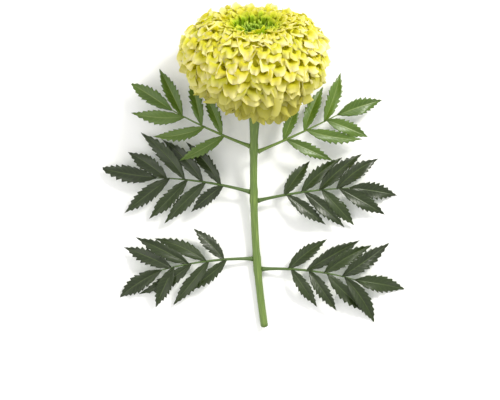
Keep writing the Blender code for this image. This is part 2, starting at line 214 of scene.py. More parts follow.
def add_sheet(bm, across, along, place, marks):
    """Adds a grid to bm whose point at u along it and v across it goes to place(u, v).

    marks are what the material reads at each point: numbers, or functions of u and v.
    """
    made = bmesh.ops.create_grid(bm, x_segments=across, y_segments=along, size=1, calc_uvs=True)
    for vert in made["verts"]:
        u, v = (vert.co.y + 1) / 2, vert.co.x
        vert.co = place(u, v)
        for name, mark in marks.items():
            vert[bm.verts.layers.float[name]] = mark(u, v) if callable(mark) else mark
    return made["verts"]


def add_petal(bm, angle, azimuth, draw):
    """Adds a petal: a narrow strap, a throat rolled to a trough, and a lip that curls over."""
    level = smooth((angle - FIRST_PETAL) / GROWTH)
    skirt = smooth((math.degrees(angle) - OLD_START) / OLD_SPREAD)
    gap = spacing(angle)
    facing = math.cos(azimuth - LOWEST_PETAL)
    hang = max(0, facing) ** 3
    tuck = SKIRT_TUCK * (1 - hang) * smooth(1 + facing / 0.7)
    tuck *= smooth((angle - TUCK_START) / TUCK_SPREAD)
    angle += draw.gauss(0, STRAY_OUT) * gap / HEAD_RADIUS
    width = gap * PETAL_WIDTH * mix(1, SKIRT_WIDENING, skirt) * draw.uniform(0.8, 1.3)
    reach = gap * mix(INNER_REACH, OUTER_REACH, level)
    reach *= mix(1, SKIRT_REACH + LOWEST_REACH * hang, skirt)
    reach *= draw.uniform(0.8, 1.25)
    upright = draw.random() < UPRIGHT_SHARE * (1 - level)
    bend = UPRIGHT_BEND if upright else mix(INNER_BEND, OUTER_BEND, level)
    bend = math.radians(bend + draw.gauss(0, BEND_SPREAD))
    flare = math.radians(mix(0, LIP_FLARE, level) * draw.uniform(-0.6, 1.6))
    proud = min(PROUD_MOST, draw.gauss(PROUD_MEAN, PROUD_SPREAD)) * MM
    line, strap = petal_line(angle, reach, bend, flare, proud, tuck)
    azimuth += draw.gauss(0, STRAY_ROUND) * gap / outline(angle)[0]
    turn = Matrix.Rotation(azimuth, 4, "Z")
    twist = draw.gauss(0, TWIST_SPREAD)
    sway = draw.gauss(0, SWAY_SPREAD)
    throat = mix(mix(INNER_ROLL, GROWN_ROLL, level * 2), SKIRT_ROLL, skirt)
    throat += draw.gauss(0, ROLL_SPREAD)
    lip = mix(INNER_LIP_ROLL, OUTER_LIP_ROLL, level) + draw.gauss(0, LIP_ROLL_SPREAD)
    if draw.random() < ROLLED_SHARE:
        throat, lip = draw.uniform(3.0, 4.0), draw.uniform(0.4, 2.0)
    waves = draw.uniform(1.2, 2.2)
    wave_phase = draw.uniform(0, 2 * math.pi)
    wave_depth = mix(INNER_WAVES, OUTER_WAVES, level) * draw.uniform(0.5, 1.8)
    blunt = draw.uniform(0.3, 0.62)
    margin_phase = draw.uniform(0, 2 * math.pi)
    lobe_phase = draw.uniform(-0.8, 0.8)
    youth = 1 - smooth((outline(angle)[0] - CENTRE_RADIUS) / YOUNG_RING)
    # Painted highlight: how much cream the lip takes, none on the young ones and less on the shaded
    # skirt.
    lip_highlight = (1 - youth) * (1 - 0.75 * skirt) * mix(0.45, 1, level * 2) * draw.uniform(0.5, 1.1)

    def place(u, v):
        """Where a point of the petal goes: u from its root to its tip, v from margin to margin."""
        flap = max(0, u * ALONG - 1) / (ALONG - 1)
        lobes = 0.5 - 0.5 * math.cos(math.pi * 2.2 * (v + lobe_phase))
        rounding = blunt * (1 - math.sqrt(1 - 0.96 * v * v)) + 0.3 * abs(v) ** 7 + 0.1 * lobes
        share = strap * min(1, u * ALONG) + (1 - strap) * flap
        share -= (1 - strap) * flap ** 1.4 * rounding
        point, direction = along_line(line, share)
        body = mix(STRAP_WIDTH, THROAT_WIDTH, u * ALONG)
        body += (1 - THROAT_WIDTH) * smooth(flap * 1.8)
        body -= 0.16 * flap ** 3
        half = width / 2 * body
        bow = mix(throat, lip, smooth((flap - 0.1) / 0.7)) / 2
        bow = bow if abs(bow) > 0.01 else 0.01
        side = half * math.sin(bow * v) / bow
        lift = half * (1 - math.cos(bow * v)) / bow
        wave = math.sin(math.pi * waves * v + wave_phase) * flap ** 1.5
        wave += 0.7 * math.sin(2.6 * math.pi * flap + margin_phase) * abs(v) ** 3 * smooth(flap * 3)
        lift += width * wave_depth * wave
        lean = twist * flap
        side, lift = side - lift * lean + sway * width * flap ** 2, lift + side * lean
        normal = Vector((-math.cos(direction), math.sin(direction)))
        flat = point + normal * lift
        spot = HEAD @ (turn @ Vector((flat.x, side, flat.y)))
        return above_table(spot, PETAL_WALL, PETAL_SOFTNESS)

    # The lip's painted highlight: cream towards its tip and along its outer margins.
    def pale(u, v):
        return lip_highlight * max(smooth((u - 0.42) / 0.5), 0.8 * smooth((abs(v) * u - 0.42) / 0.3))

    # pale marks the lips' painted highlight, and the skirt share the skirt's painted shade
    marks = {"tone": draw.random(), "youth": youth, "pale": pale, "shaded": skirt}
    add_sheet(bm, ACROSS, ALONG, place, marks)


def new_mesh(*marks):
    """An empty mesh with a UV map and a number for each mark at each of its points."""
    bm = bmesh.new()
    bm.loops.layers.uv.new("UVMap")
    for name in marks:
        bm.verts.layers.float.new(name)
    return bm


def piece(name, bm, finish, *nodes):
    """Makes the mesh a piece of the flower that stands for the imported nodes."""
    mesh = bpy.data.meshes.new(name)
    bm.to_mesh(mesh)
    bm.free()
    mesh.shade_smooth()
    obj = bpy.data.objects.new(name, mesh)
    bpy.context.scene.collection.objects.link(obj)
    mesh.materials.append(finish)
    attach(obj, "root")
    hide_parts(*nodes)
    return obj


def thicken(obj, wall, rounds=0, back_slot=0):
    """Gives a sheet its wall, rounds of softening, and its back the material back_slot."""
    shell = obj.modifiers.new("wall", "SOLIDIFY")
    shell.thickness = wall
    shell.offset = 0
    shell.material_offset = back_slot
    shell.material_offset_rim = 0
    if rounds:
        soft = obj.modifiers.new("soften", "SUBSURF")
        soft.levels = rounds
        soft.render_levels = rounds


def blank_material(name):
    made = bpy.data.materials.new(name)
    made.use_nodes = True
    made.node_tree.nodes.clear()
    return made, made.node_tree


def node(tree, kind, settings=None, out=0, **inputs):
    """Adds a shader node and returns its output called out, or numbered out.

    settings are the node's own properties, with stops for a colour ramp's (position, hex colour)
    pairs. inputs are numbers, hex colours or other nodes' outputs, and i0 is the input numbered 0.
    """
    made = tree.nodes.new("ShaderNode" + kind)
    for key, value in (settings or {}).items():
        if key != "stops":
            setattr(made, key, value)
            continue
        elements = made.color_ramp.elements
        while len(elements) < len(value):
            elements.new(0.5)
        for element, (position, colour) in zip(elements, value):
            element.position = position
            element.color = linear(colour)
    for key, value in inputs.items():
        number = key[1:]
        socket = made.inputs[int(number) if number.isdigit() else key.replace("_", " ")]
        if isinstance(value, bpy.types.NodeSocket):
            tree.links.new(value, socket)
        else:
            socket.default_value = linear(value) if isinstance(value, str) else value
    return made.outputs[out] if made.outputs else None


COLOURS = {"data_type": "RGBA"}
TIMES = {"operation": "MULTIPLY"}
PETAL_VEINS = 26  # side by side on one petal, about 0.4 mm apart on most
PETAL_RIPPLES = 2.2  # along one petal, each about 4 mm long


def petal_tissue():
    """Living petal: soft, faintly veined along its length, and lit through from behind.

    Lemon yellow in its throat, cream on its lip as a painted highlight, lime in the young ones,
    and darker olive in the skirt as painted shade.
    """
    made, tree = blank_material("petal_tissue_lemon")
    uv = node(tree, "UVMap", {"uv_map": "UVMap"})
    along = node(tree, "SeparateXYZ", out="Y", Vector=uv)
    tone, youth, pale, shaded = (
        node(tree, "Attribute", {"attribute_name": mark}, out="Fac")
        for mark in ("tone", "youth", "pale", "shaded"))
    fresh = node(
        tree, "ValToRGB", {"stops": (
            (0.0, "#E0E130"), (0.3, "#E5E632"), (0.6, "#EAEA36"), (0.9, "#EFED4A"))}, Fac=along)
    warm = node(
        tree, "ValToRGB", {"stops": (
            (0.0, "#E4E02B"), (0.3, "#EAE42C"), (0.6, "#EFE830"), (0.9, "#F2EB46"))}, Fac=along)
    young = node(
        tree, "ValToRGB", {"stops": (
            (0.0, "#90B81A"), (0.3, "#BED824"), (0.7, "#E0E832"), (1.0, "#EEEE4A"))}, Fac=along)
    colour = node(tree, "Mix", COLOURS, out=2, i0=tone, i6=fresh, i7=warm)
    # Painted shade: the skirt's petals are mixed towards a darker olive.
    shade = node(tree, "Math", TIMES, i0=shaded, i1=0.8)
    colour = node(tree, "Mix", COLOURS, out=2, i0=shade, i6=colour, i7="#BCB82A")
    veins = node(tree, "Mapping", Vector=uv, Scale=(PETAL_VEINS, PETAL_RIPPLES, 1))
    fibre = node(
        tree, "TexNoise", {"noise_dimensions": "2D"},
        Vector=veins, Scale=1.0, Detail=3.0, Roughness=0.6)
    streak = node(tree, "Math", TIMES, i0=fibre, i1=0.25)
    colour = node(tree, "Mix", COLOURS, out=2, i0=streak, i6=colour, i7="#D2C814")
    # Painted highlight: cream on the lips.
    colour = node(tree, "Mix", COLOURS, out=2, i0=pale, i6=colour, i7="#FFFAD0")
    colour = node(tree, "Mix", COLOURS, out=2, i0=youth, i6=colour, i7=young)
    bump = node(tree, "Bump", Strength=0.4, Distance=0.4 * MM, Height=fibre)
    shader = node(tree, "BsdfPrincipled", Base_Color=colour, Roughness=0.5, Normal=bump)
    glow = node(tree, "BsdfTranslucent", Color=colour)
    both = node(tree, "MixShader", i0=0.52, i1=shader, i2=glow)
    node(tree, "OutputMaterial", Surface=both)
    return made


PETAL_TISSUE = petal_tissue()
petal_draw = random.Random(11)
angles = petal_angles()
ZONES = (
    ("petals_inner", 0, 42), ("petals_upper", 42, 70), ("petals_side", 70, 98),
    ("petals_skirt", 98, 180))
for zone, zone_start, zone_end in ZONES:
    petals = new_mesh("tone", "youth", "pale", "shaded")
    for index, angle in enumerate(angles):
        if zone_start <= math.degrees(angle) < zone_end:
            add_petal(petals, angle, HEAD_TURN + index * GOLDEN_ANGLE, petal_draw)
    zone_piece = piece(zone, petals, PETAL_TISSUE, "bloom")
    thicken(zone_piece, PETAL_WALL, rounds=1)

# ------------------------------------------------------------------------------------------------
# Packed petal roots. Deep between the flaps the petals' straps lie so close that they read as one
# body, the floor of the gaps. It also fills the cup, which the petals grow from.

SEAM = 0.008 * MM  # points closer than this are one
STRAP_SPACING = 2.4 * MM
ROOT_PROFILE = (
    (0, 7.8), (13.8, 7.8), (14.2, 11.5), (19, 15.5), (27, 16), (37, 9), (43, -5), (40, -18),
    (30, -26), (12.6, -23.5), (11.8, -21.3), (8.2, -21.3), (9.2, -30), (7.9, -37), (4.1, -42.5),
    (0, -42.5))  # radius and height, mm


def turned(profile, steps):
    """A turned shape from (radius, height) points, which run down its outer side."""
    bm = new_mesh()
    points = [bm.verts.new((radius, 0, height)) for radius, height in profile]
    edges = [bm.edges.new(pair) for pair in zip(points, points[1:])]
    bmesh.ops.spin(
        bm, geom=points + edges, cent=(0, 0, 0), axis=(0, 0, 1), angle=2 * math.pi,
        steps=steps, use_merge=True)
    bmesh.ops.remove_doubles(bm, verts=bm.verts[:], dist=SEAM)
    bmesh.ops.recalc_face_normals(bm, faces=bm.faces[:])
    return bm


def root_mass():
    """Crowded petal straps: lemon yellow like the petals' throats, streaked, and quite matt."""
    made, tree = blank_material("petal_roots_lemon")
    place = node(tree, "TexCoord", out="Object")
    streak = node(tree, "TexNoise", Vector=place, Scale=1 / STRAP_SPACING, Detail=3.0)
    colour = node(
        tree, "ValToRGB", {"stops": ((0.3, "#E0DE34"), (0.7, "#ECEA40"))}, Fac=streak)
    shader = node(tree, "BsdfPrincipled", Base_Color=colour, Roughness=0.8)
    node(tree, "OutputMaterial", Surface=shader)
    return made


roots = turned([(r * MM, z * MM) for r, z in ROOT_PROFILE], 48)
bmesh.ops.transform(roots, matrix=HEAD, verts=roots.verts[:])
roots_piece = piece("petal_roots", roots, root_mass(), "bloom")

# ------------------------------------------------------------------------------------------------
# Green centre. The youngest florets, still closed, stand packed in the hollow of the head. The
# outer ones are the longest and palest; towards the middle they are darker, partly their own young
# green and partly painted shade of the hollow, and near black at their feet as painted shade.

FLORET_SPACING = 2.0 * MM
FLORET_RADIUS = 0.74 * MM
FLORET_LENGTH, OUTER_LENGTH = 3.0, 3.8  # mm in the middle, and so much more at the rim
FLORET_FOOT, OUTER_FOOT = 8.6, 3.0  # mm above the head's rim, and so much more at the rim
FLORET_LEAN, LEAN_SPREAD = 0.5, 0.2  # radians outwards at the rim
FLORET_WALL = 0.12 * MM
FLORET_FIELD = 0.93 * CENTRE_RADIUS


def add_floret(bm, reach, azimuth, draw):
    """Adds a floret: a narrow tube that swells upwards, with a notched mouth."""
    share = reach / CENTRE_RADIUS
    length = (FLORET_LENGTH + OUTER_LENGTH * share ** 1.5) * draw.uniform(0.7, 1.25) * MM
    wide = FLORET_RADIUS * draw.uniform(0.75, 1.25)
    foot = Vector((reach, 0, (FLORET_FOOT + OUTER_FOOT * share ** 2) * MM))
    lean = Matrix.Rotation(FLORET_LEAN * share ** 2 + draw.gauss(0, LEAN_SPREAD), 3, "Y")
    curl = draw.uniform(-0.5, 1.0) * share
    turn = Matrix.Rotation(azimuth, 3, "Z")
    gape = 1.15 if share > 0.55 else 0.5
    tone = draw.random()

    def place(u, v):
        around = math.pi * v
        swell = mix(0.6, 1.0, u * 2) * (1 if u < 0.85 else gape)
        ring = Vector((math.cos(around), math.sin(around), 0)) * wide * swell
        notch = 0.5 * MM * math.cos(around * 2 + tone * 6) if u > 0.95 else 0
        spine = Vector((curl * length * u * u * 0.3, 0, u * length + notch))
        return HEAD @ (turn @ (foot + lean @ (ring + spine)))

    tube = add_sheet(bm, 5, 4, place, {"tone": tone, "age": share})
    bmesh.ops.remove_doubles(bm, verts=tube, dist=SEAM)


def floret_tissue():
    """Unopened floret: juicy and slightly glossy, lime green with a yellow-green tip.

    The youngest, in the middle, are the darkest, partly by their own young green and partly by
    painted shade of the hollow, and they go near black at their feet as painted shade between them.
    """
    made, tree = blank_material("young_floret_lime")
    along = node(tree, "SeparateXYZ", out="Y", Vector=node(tree, "UVMap", {"uv_map": "UVMap"}))
    tone = node(tree, "Attribute", {"attribute_name": "tone"}, out="Fac")
    age = node(tree, "Attribute", {"attribute_name": "age"}, out="Fac")
    # Middle florets: dark green, going near black at their feet as painted shade between them.
    middle_and_painted_shade = node(
        tree, "ValToRGB", {"stops": ((0.0, "#0E2207"), (0.6, "#356617"), (1.0, "#7EB030"))},
        Fac=along)
    pale = node(
        tree, "ValToRGB", {"stops": ((0.0, "#74AC14"), (0.6, "#B4D824"), (1.0, "#DCEE42"))},
        Fac=along)
    ripe = node(tree, "Math", {"operation": "POWER"}, i0=age, i1=1.7)
    colour = node(tree, "Mix", COLOURS, out=2, i0=ripe, i6=middle_and_painted_shade, i7=pale)
    varied = node(tree, "Math", TIMES, i0=tone, i1=ripe)
    lightened = node(tree, "Math", TIMES, i0=varied, i1=0.5)
    colour = node(tree, "Mix", COLOURS, out=2, i0=lightened, i6=colour, i7="#D2DC4A")
    shader = node(tree, "BsdfPrincipled", Base_Color=colour, Roughness=0.5)
    glow = node(tree, "BsdfTranslucent", Color=colour)
    both = node(tree, "MixShader", i0=0.25, i1=shader, i2=glow)
    node(tree, "OutputMaterial", Surface=both)
    return made


FLORET_TISSUE = floret_tissue()
floret_draw = random.Random(5)
florets = new_mesh("tone", "age")
floret_total = int((FLORET_FIELD / FLORET_SPACING) ** 2 * math.pi)
for index in range(floret_total):
    floret_reach = FLORET_FIELD * math.sqrt((index + 0.5) / floret_total)
    add_floret(florets, floret_reach, index * GOLDEN_ANGLE, floret_draw)
florets_piece = piece("centre_florets_fine", florets, FLORET_TISSUE, "centre_florets")
thicken(florets_piece, FLORET_WALL)

DISC_PROFILE = ((0, 8.8), (7, 9.4), (13.6, 11.8), (13.6, 8.2), (0, 8.2))  # radius and height, mm
disc = turned([(r * MM, z * MM) for r, z in DISC_PROFILE], 40)
bmesh.ops.transform(disc, matrix=HEAD, verts=disc.verts[:])
disc_piece = piece("centre_disc", disc, FLORET_TISSUE, "centre_florets")

# ------------------------------------------------------------------------------------------------
# Cup. The bracts under a marigold's head are joined into one ribbed cup with a toothed rim, dotted
# with oil glands between its ribs. The petals stand in it and the stem swells into it from below.

CUP_RIM_HEIGHT = -22 * MM
CUP_LENGTH = 22 * MM
CUP_RADIUS = 10.6 * MM
CUP_WALL = 0.9 * MM
CUP_STATIONS = 14
CUP_RIBS = 8
RIB_HEIGHT = 0.45 * MM
TOOTH_LENGTH = 2.0 * MM
NECK_RADIUS = 5.0 * MM

cup_base = CUP_RIM_HEIGHT - CUP_LENGTH
cup_profile = []
for station in range(CUP_STATIONS + 1):
    part = station / CUP_STATIONS
    swell = max(0, math.cos(math.pi / 2 * part ** 1.7)) ** 0.6
    cup_profile.append((
        max(NECK_RADIUS * 0.98, mix(NECK_RADIUS, CUP_RADIUS, swell) * mix(0.96, 1, part * 4)),
        CUP_RIM_HEIGHT - CUP_LENGTH * part))
cup_profile.append((0, cup_base))
cup = turned(cup_profile, CUP_RIBS * 10)
for vert in cup.verts:
    azimuth = math.atan2(vert.co.y, vert.co.x)
    height = min(1, max(0, (vert.co.z - cup_base) / CUP_LENGTH))
    rib = RIB_HEIGHT * abs(math.cos(CUP_RIBS / 2 * azimuth)) ** 3 * 4 * height * (1 - height)
    spread = math.hypot(vert.co.x, vert.co.y)
    if spread > MM:
        vert.co.xy *= 1 + rib / spread
    tooth = abs(math.sin(CUP_RIBS / 2 * azimuth)) ** 0.8
    vert.co.z -= TOOTH_LENGTH * tooth * smooth((height - 0.8) / 0.2)
bmesh.ops.transform(cup, matrix=HEAD, verts=cup.verts[:])

GLAND_SPACING = 3 * MM
CUP_CLOUDS = 6 * MM


def cup_tissue():
    """Fleshy joined bracts: yellow-green between the ribs, dotted with darker oil glands."""
    made, tree = blank_material("cup_bract_green")
    place = node(tree, "TexCoord", out="Object")
    cloud = node(tree, "TexNoise", Vector=place, Scale=1 / CUP_CLOUDS, Detail=3.0)
    colour = node(tree, "ValToRGB", {"stops": ((0.3, "#6F8A34"), (0.7, "#94A64A"))}, Fac=cloud)
    gland = node(tree, "TexVoronoi", out="Distance", Vector=place, Scale=1 / GLAND_SPACING)
    spot = node(tree, "ValToRGB", {"stops": ((0.16, "#FFFFFF"), (0.26, "#000000"))}, Fac=gland)
    dark = node(tree, "Math", TIMES, i0=spot, i1=0.6)
    colour = node(tree, "Mix", COLOURS, out=2, i0=dark, i6=colour, i7="#3E5218")
    bump = node(tree, "Bump", Strength=0.4, Distance=0.3 * MM, Height=cloud)
    shader = node(tree, "BsdfPrincipled", Base_Color=colour, Roughness=0.48, Normal=bump)
    node(tree, "OutputMaterial", Surface=shader)
    return made


cup_piece = piece("cup", cup, cup_tissue(), "involucre_cup")
cup_shell = cup_piece.modifiers.new("wall", "SOLIDIFY")
cup_shell.thickness = CUP_WALL
cup_shell.offset = -1

# ------------------------------------------------------------------------------------------------
# Stem. It swells to a neck under the cup, comes down to the table in one curve, and is cut off at a
# slant. It is fluted along its length and thickens a little where leaves grow from it.

STEM_RADIUS = 2.7 * MM
STEM_GAP = 0.3 * MM
STEM_PULL = Vector((-4, -122, 2.5)) * MM  # the curve leans towards it before its end
STEM_END = Vector((7, -196, 2.75)) * MM
STEM_LEAD = 28  # mm, how far it keeps the head's direction
STEM_FLUTES = 9
FLUTE_DEPTH = 0.1  # of the radius
CUT_SLANT = 0.5
NECK_SHARE = 0.3  # of the stem, over which the neck narrows
JOINT_SWELL, JOINT_SHARE = 0.5 * MM, 0.018
LEAF_JOINTS = (0.27, 0.30, 0.50, 0.54, 0.77, 0.81)  # shares of the stem from the top
HEAD_AXIS = (HEAD.to_3x3() @ Vector((0, 0, 1))).normalized()
STEM_TOP = HEAD @ Vector((0, 0, cup_base - STEM_GAP))


def stem_point(share):
    """A point of the stem's middle line, one cubic Bezier from the cup to the cut end."""
    corners = (STEM_TOP, STEM_TOP - HEAD_AXIS * STEM_LEAD * MM, STEM_PULL, STEM_END)
    rest = 1 - share
    weights = (rest ** 3, 3 * rest ** 2 * share, 3 * rest * share ** 2, share ** 3)
    return sum((corner * weight for corner, weight in zip(corners, weights)), Vector())


def stem_radius(share):
    neck = (NECK_RADIUS - STEM_RADIUS) * max(0, 1 - share / NECK_SHARE) ** 1.6
    joints = sum(
        JOINT_SWELL * math.exp(-((share - at) / JOINT_SHARE) ** 2) for at in LEAF_JOINTS)
    return STEM_RADIUS + neck + joints


def add_rod(bm, point, radius, sides, along, flutes=0, depth=0, slant=0):
    """Adds a rod with closed ends round the points point(0) to point(1)."""
    def place(u, v):
        way = (point(min(1, u + 0.01)) - point(max(0, u - 0.01))).normalized()
        side = way.cross(Vector((0, 0, 1))).normalized()
        up = side.cross(way)
        around = math.pi * v
        reach = radius(u) * (1 - depth * (0.5 - 0.5 * math.cos(flutes * around)))
        lean = way * slant * reach * math.sin(around) * smooth((u - 0.97) / 0.03)
        return point(u) + side * math.cos(around) * reach + up * math.sin(around) * reach + lean

    skin = add_sheet(bm, sides, along, place, {})
    bmesh.ops.remove_doubles(bm, verts=skin, dist=SEAM)
    rims = [edge for edge in bm.edges if edge.is_boundary]
    bmesh.ops.holes_fill(bm, edges=rims, sides=0)


STEM_STREAKS = 60  # round the stem, 0.3 mm apart
STEM_STREAK_ROWS = 14  # along the stem, each about 14 mm long
PITH_CELLS = 0.55 * MM  # drawn coarser than real pith, so that they show


def stem_tissue(name, dark, middle, pale):
    """Herbaceous stem or leaf rib: smooth fluted skin with paler flutes and a few long streaks."""
    made, tree = blank_material(name)
    uv = node(tree, "UVMap", {"uv_map": "UVMap"})
    grain = node(tree, "Mapping", Vector=uv, Scale=(STEM_STREAKS, STEM_STREAK_ROWS, 1))
    streak = node(tree, "TexNoise", Vector=grain, Scale=1.0, Detail=4.0)
    colour = node(
        tree, "ValToRGB", {"stops": ((0.3, dark), (0.55, middle), (0.75, pale))}, Fac=streak)
    bump = node(tree, "Bump", Strength=0.35, Distance=0.3 * MM, Height=streak)
    shader = node(tree, "BsdfPrincipled", Base_Color=colour, Roughness=0.45, Normal=bump)
    node(tree, "OutputMaterial", Surface=shader)
    return made


def pith():
    """Cut end of the stem: pale, wet pith."""
    made, tree = blank_material("stem_pith_pale")
    place = node(tree, "TexCoord", out="Object")
    cells = node(tree, "TexNoise", Vector=place, Scale=1 / PITH_CELLS)
    colour = node(tree, "ValToRGB", {"stops": ((0.35, "#B9C68A"), (0.7, "#DDE4BC"))}, Fac=cells)
    shader = node(tree, "BsdfPrincipled", Base_Color=colour, Roughness=0.35)
    node(tree, "OutputMaterial", Surface=shader)
    return made


STEM_TISSUE = stem_tissue("stem_skin_green", "#4A6226", "#667E36", "#889A50")
stem = new_mesh()
add_rod(
    stem, stem_point, stem_radius, STEM_FLUTES * 5, 90, STEM_FLUTES, FLUTE_DEPTH, CUT_SLANT)
bmesh.ops.recalc_face_normals(stem, faces=stem.faces[:])
min(stem.faces, key=lambda face: face.calc_center_median().y).material_index = 1
stem_piece = piece("stem_fluted", stem, STEM_TISSUE, "stem")
stem_piece.data.materials.append(pith())

# ------------------------------------------------------------------------------------------------
# Leaves. They grow in pairs, each a rib with toothed leaflets in pairs and one at its end. The
# leaflets are folded a little along their midribs and droop towards their tips.

LEAF_WALL = 0.34 * MM
LEAF_FOOT_RADIUS = 1.3 * MM
LEAF_FOOT_FLARE = 0.6 * MM
LEAF_FOOT_DEPTH = 0.4 * MM  # in the stem's skin
LEAF_TIP_RADIUS = 0.25 * MM
RIB_SHARE = 0.66  # of the leaf, up to the end leaflet
RIB_DEPTH = 0.2 * MM  # under the leaflets
END_LEAFLET = 0.36  # long, as a share of the leaf's length
SIDE_LEAFLET, MIDDLE_GAIN = 0.21, 0.17  # long, and longer by so much in mid-leaf
LEAFLET_WIDTH = 0.122  # of the leaf's length
LEAFLET_STAGGER = 1 * MM  # each way, between the two leaflets of a pair
LOWEST_LEAFLET, HIGHEST_LEAFLET = 0.2, 0.94  # of the rib
LEAFLET_ANGLE, ANGLE_LOSS = 52, 12  # degrees from the rib, and less by so much at its end
FOLD_LEAST, FOLD_MOST = 0.3, 0.75  # slope of the halves
LEAFLET_ROLL, LEAFLET_STRAY = 0.28, 0.09
DROOP_LEAST, DROOP_MOST = 0.04, 0.16  # of the leaflet's length
LEAFLET_SWAY, LEAFLET_SWAY_SPREAD = 0.08, 0.1
TEETH = 10
TOOTH_DEPTH = 0.27  # of the half width
TOOTH_LEAN = 0.45  # of a tooth's length
TABLE_CLEARANCE = 0.6 * MM
LEAF_SOFTNESS = 1.2 * MM  # how gently one flattens on the table


def leaf_spine(start, heading, turn, slopes, roll, length, steps=20):
    """Stations (point, sideways, up) along a leaf that arches out from start."""
    frames, point = [], start.copy()
    for i in range(steps + 1):
        share = i / steps
        if share < 0.5:
            climb = mix(slopes[0], slopes[1], share * 2)
        else:
            climb = mix(slopes[1], slopes[2], share * 2 - 1)
        way = heading + turn * share
        along = Vector((
            math.sin(way) * math.cos(climb), math.cos(way) * math.cos(climb), math.sin(climb)))
        level = Vector((math.cos(way), -math.sin(way), 0))
        side = Matrix.Rotation(roll * share, 3, along) @ level
        if i:
            point = point + along * length / steps
        frames.append((point.copy(), side, side.cross(along)))
    return frames


def on_leaf(frames, length, flat):
    """Where the point flat = (sideways, along, up) of the level leaf goes on the arched one."""
    place = min(0.9999, max(0, flat.y / length)) * (len(frames) - 1)
    low = int(place)
    part = place - low
    (p0, s0, n0), (p1, s1, n1) = frames[low], frames[low + 1]
    spot = p0.lerp(p1, part) + s0.lerp(s1, part) * flat.x + n0.lerp(n1, part) * flat.z
    return above_table(spot, TABLE_CLEARANCE, LEAF_SOFTNESS)


def add_leaflet(bm, foot, turn, length, width, to_leaf, draw):
    """Adds a leaflet: two halves folded up from its midrib, each with a row of forward teeth."""
    tone = draw.random()
    fold = draw.uniform(FOLD_LEAST, FOLD_MOST)
    roll = draw.gauss(0, LEAFLET_ROLL)
    droop = draw.uniform(DROOP_LEAST, DROOP_MOST)
    outwards = math.copysign(1, turn) * (turn != 0)
    sway = draw.gauss(LEAFLET_SWAY * outwards, LEAFLET_SWAY_SPREAD)
    ripple = draw.uniform(0, 2 * math.pi)
    length *= draw.uniform(0.86, 1.12)
    turn += draw.gauss(0, LEAFLET_STRAY)
    depths = [
        TOOTH_DEPTH * draw.uniform(0.5, 1.4) * smooth((k - 1) / 3) for k in range(TEETH + 1)]

    def place(u, v):
        tooth = round(u * TEETH * 2) % 2
        edge = abs(v) ** 6
        body = max(0, math.sin(math.pi * u ** 0.95)) ** 1.1 * mix(1.0, 0.98, u) + 0.05 * (1 - u)
        half = width / 2 * body * (1 - depths[int(u * TEETH)] * edge * (1 - tooth))
        ahead = u * length + edge * tooth * TOOTH_LEAN * length / TEETH * body
        ahead -= abs(v) * 0.05 * width
        rise = abs(v) * half * fold * (1 - 0.35 * abs(v)) + roll * v * half * u
        rise += 0.07 * width * math.sin(9 * u + ripple + 2 * v) * abs(v) - droop * length * u * u
        flat = Vector((v * half + sway * length * u * u, ahead, rise))
        return to_leaf(Matrix.Rotation(turn, 3, "Z") @ flat + Vector((0, foot, 0)))

    add_sheet(bm, 8, TEETH * 2, place, {"tone": tone})


LEAF_CLOUDS = 7.5 * MM
LEAF_GRAIN = 0.7 * MM  # drawn coarser than a leaf's real grain, so that it shows


